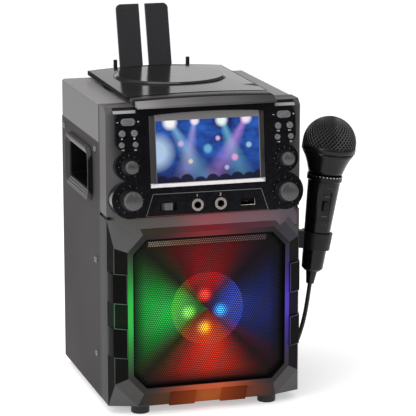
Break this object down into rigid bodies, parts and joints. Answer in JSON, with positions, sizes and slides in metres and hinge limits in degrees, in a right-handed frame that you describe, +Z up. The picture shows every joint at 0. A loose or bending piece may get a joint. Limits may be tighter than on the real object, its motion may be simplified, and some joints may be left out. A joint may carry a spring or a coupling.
{
  "type": "karaoke machine",
  "caption": "Upright box karaoke machine with a tilted control head and screen, lit speaker grille, top disc lid, folding tablet rest, side handles and a clipped corded microphone.",
  "frame": {"origin": "on the table under the middle of the cabinet's depth and width, feet resting at Z = 0", "axes": "+X to the machine's right as seen from the front, +Y to the back, +Z up"},
  "size_m": [0.2477, 0.2838, 0.3429],
  "materials": {
    "grey_plastic": "satin",
    "vinyl_board": "vinyl wrapped, fine grain",
    "raw_board": "plain board",
    "dark_plastic": "satin",
    "gloss_black": "gloss",
    "control_grey": "satin",
    "screen": "gloss, lit",
    "circuit": "semi gloss",
    "steel": "brushed",
    "jack_brass": "satin",
    "chrome": "polished",
    "grille_steel": "perforated, satin",
    "paper": "matte",
    "bulb": "clear",
    "foot_rubber": "matte",
    "cord_sheath": "satin",
    "fin_plastic": "gloss"
  },
  "bodies": {
    "cabinet": {"back_panel": "vinyl_board", "baffle": "raw_board", "bottom_panel": "vinyl_board", "control_boards": "circuit", "cord_tie": "cord_sheath", "disc_well": "dark_plastic", "display_panel": "screen", "drive_chassis": "dark_plastic", "fascia": "gloss_black", "feet": "foot_rubber", "function_switch": "dark_plastic", "handle_cup_left": "dark_plastic", "handle_cup_right": "dark_plastic", "head_moulding": "grey_plastic", "hinge_pins": "steel", "light_bulbs": "bulb", "light_carrier": "dark_plastic", "main_board": "circuit", "media_port": "steel", "mic_clip": "dark_plastic", "mic_cord_coil": "cord_sheath", "mic_cord_hang": "cord_sheath", "mic_plug": "chrome", "microphone_jacks": "jack_brass", "panel_screws": "chrome", "potentiometers": "steel", "rear_sockets": "steel", "screen_frame": "gloss_black", "side_panel_left": "vinyl_board", "side_panel_right": "vinyl_board", "speaker_basket": "steel", "speaker_bezel": "grey_plastic", "speaker_cone": "paper", "speaker_grille": "grille_steel", "spindle_motor": "steel", "top_cover": "grey_plastic"},
    "disc_lid": {"disc_lid": "fin_plastic"},
    "tablet_rest": {"tablet_rest": "fin_plastic"},
    "small_knob_left": {"small_knob_left": "control_grey"},
    "large_knob_left": {"large_knob_left": "control_grey"},
    "rocker_left": {"rocker_left": "control_grey"},
    "button_left_upper_inner": {"button_left_upper_inner": "control_grey"},
    "button_left_upper_outer": {"button_left_upper_outer": "control_grey"},
    "button_left_lower_inner": {"button_left_lower_inner": "control_grey"},
    "button_left_lower_outer": {"button_left_lower_outer": "control_grey"},
    "small_knob_right": {"small_knob_right": "control_grey"},
    "large_knob_right": {"large_knob_right": "control_grey"},
    "rocker_right": {"rocker_right": "control_grey"},
    "button_right_upper_inner": {"button_right_upper_inner": "control_grey"},
    "button_right_upper_outer": {"button_right_upper_outer": "control_grey"},
    "button_right_lower_inner": {"button_right_lower_inner": "control_grey"},
    "button_right_lower_outer": {"button_right_lower_outer": "control_grey"},
    "function_slider": {"function_slider": "control_grey"},
    "power_rocker": {"power_rocker": "gloss_black"},
    "turntable": {"turntable": "dark_plastic"},
    "laser_sled": {"laser_sled": "dark_plastic"},
    "mic_handle": {"mic_handle": "dark_plastic", "mic_grille": "grille_steel", "mic_capsule": "dark_plastic"},
    "mic_switch": {"mic_switch": "control_grey"}
  },
  "joints": [
    {"name": "lid_hinge", "type": "hinge", "parent": "cabinet", "child": "disc_lid", "pos_m": [0, 0.0835, 0.2834], "axis": [-1, 0, 0], "range_deg": [0, 70]},
    {"name": "rest_fold", "type": "hinge", "parent": "cabinet", "child": "tablet_rest", "pos_m": [0, 0.1115, 0.275], "axis": [-1, 0, 0], "range_deg": [0, 160]},
    {"name": "small_knob_turn_left", "type": "hinge", "parent": "cabinet", "child": "small_knob_left", "pos_m": [-0.07175, -0.09855, 0.22933], "axis": [0, -0.9936, 0.1132], "range_deg": [-150, 150]},
    {"name": "large_knob_turn_left", "type": "hinge", "parent": "cabinet", "child": "large_knob_left", "pos_m": [-0.07175, -0.10189, 0.20002], "axis": [0, -0.9936, 0.1132], "range_deg": [-150, 150]},
    {"name": "rocker_tilt_left", "type": "hinge", "parent": "cabinet", "child": "rocker_left", "pos_m": [-0.07175, -0.09113, 0.26794], "axis": [0, 0.1132, 0.9936], "range_deg": [-4, 4], "stiffness_Nm_per_rad": 0.05},
    {"name": "press_left_upper_inner", "type": "slide", "parent": "cabinet", "child": "button_left_upper_inner", "axis": [0, 0.9936, -0.1132], "range_m": [0, 0.0008], "stiffness_N_per_m": 500},
    {"name": "press_left_upper_outer", "type": "slide", "parent": "cabinet", "child": "button_left_upper_outer", "axis": [0, 0.9936, -0.1132], "range_m": [0, 0.0008], "stiffness_N_per_m": 500},
    {"name": "press_left_lower_inner", "type": "slide", "parent": "cabinet", "child": "button_left_lower_inner", "axis": [0, 0.9936, -0.1132], "range_m": [0, 0.0008], "stiffness_N_per_m": 500},
    {"name": "press_left_lower_outer", "type": "slide", "parent": "cabinet", "child": "button_left_lower_outer", "axis": [0, 0.9936, -0.1132], "range_m": [0, 0.0008], "stiffness_N_per_m": 500},
    {"name": "small_knob_turn_right", "type": "hinge", "parent": "cabinet", "child": "small_knob_right", "pos_m": [0.07175, -0.09855, 0.22933], "axis": [0, -0.9936, 0.1132], "range_deg": [-150, 150]},
    {"name": "large_knob_turn_right", "type": "hinge", "parent": "cabinet", "child": "large_knob_right", "pos_m": [0.07175, -0.10189, 0.20002], "axis": [0, -0.9936, 0.1132], "range_deg": [-150, 150]},
    {"name": "rocker_tilt_right", "type": "hinge", "parent": "cabinet", "child": "rocker_right", "pos_m": [0.07175, -0.09113, 0.26794], "axis": [0, 0.1132, 0.9936], "range_deg": [-4, 4], "stiffness_Nm_per_rad": 0.05},
    {"name": "press_right_upper_inner", "type": "slide", "parent": "cabinet", "child": "button_right_upper_inner", "axis": [0, 0.9936, -0.1132], "range_m": [0, 0.0008], "stiffness_N_per_m": 500},
    {"name": "press_right_upper_outer", "type": "slide", "parent": "cabinet", "child": "button_right_upper_outer", "axis": [0, 0.9936, -0.1132], "range_m": [0, 0.0008], "stiffness_N_per_m": 500},
    {"name": "press_right_lower_inner", "type": "slide", "parent": "cabinet", "child": "button_right_lower_inner", "axis": [0, 0.9936, -0.1132], "range_m": [0, 0.0008], "stiffness_N_per_m": 500},
    {"name": "press_right_lower_outer", "type": "slide", "parent": "cabinet", "child": "button_right_lower_outer", "axis": [0, 0.9936, -0.1132], "range_m": [0, 0.0008], "stiffness_N_per_m": 500},
    {"name": "function_slide", "type": "slide", "parent": "cabinet", "child": "function_slider", "axis": [1, 0, 0], "range_m": [-0.004, 0.004]},
    {"name": "power_tilt", "type": "hinge", "parent": "cabinet", "child": "power_rocker", "pos_m": [0.046, 0.081, 0.054], "axis": [1, 0, 0], "range_deg": [-8, 8]},
    {"name": "turntable_spin", "type": "hinge", "parent": "cabinet", "child": "turntable", "pos_m": [0, 0.014, 0.268], "axis": [0, 0, 1], "continuous": true},
    {"name": "sled_travel", "type": "slide", "parent": "cabinet", "child": "laser_sled", "axis": [0, -1, 0], "range_m": [0, 0.032]},
    {"name": "mic_lift", "type": "slide", "parent": "cabinet", "child": "mic_handle", "axis": [0.1323, 0, 0.9912], "range_m": [0, 0.045]},
    {"name": "mic_switch_slide", "type": "slide", "parent": "mic_handle", "child": "mic_switch", "axis": [0.1323, 0, 0.9912], "range_m": [-0.003, 0.003]}
  ]
}
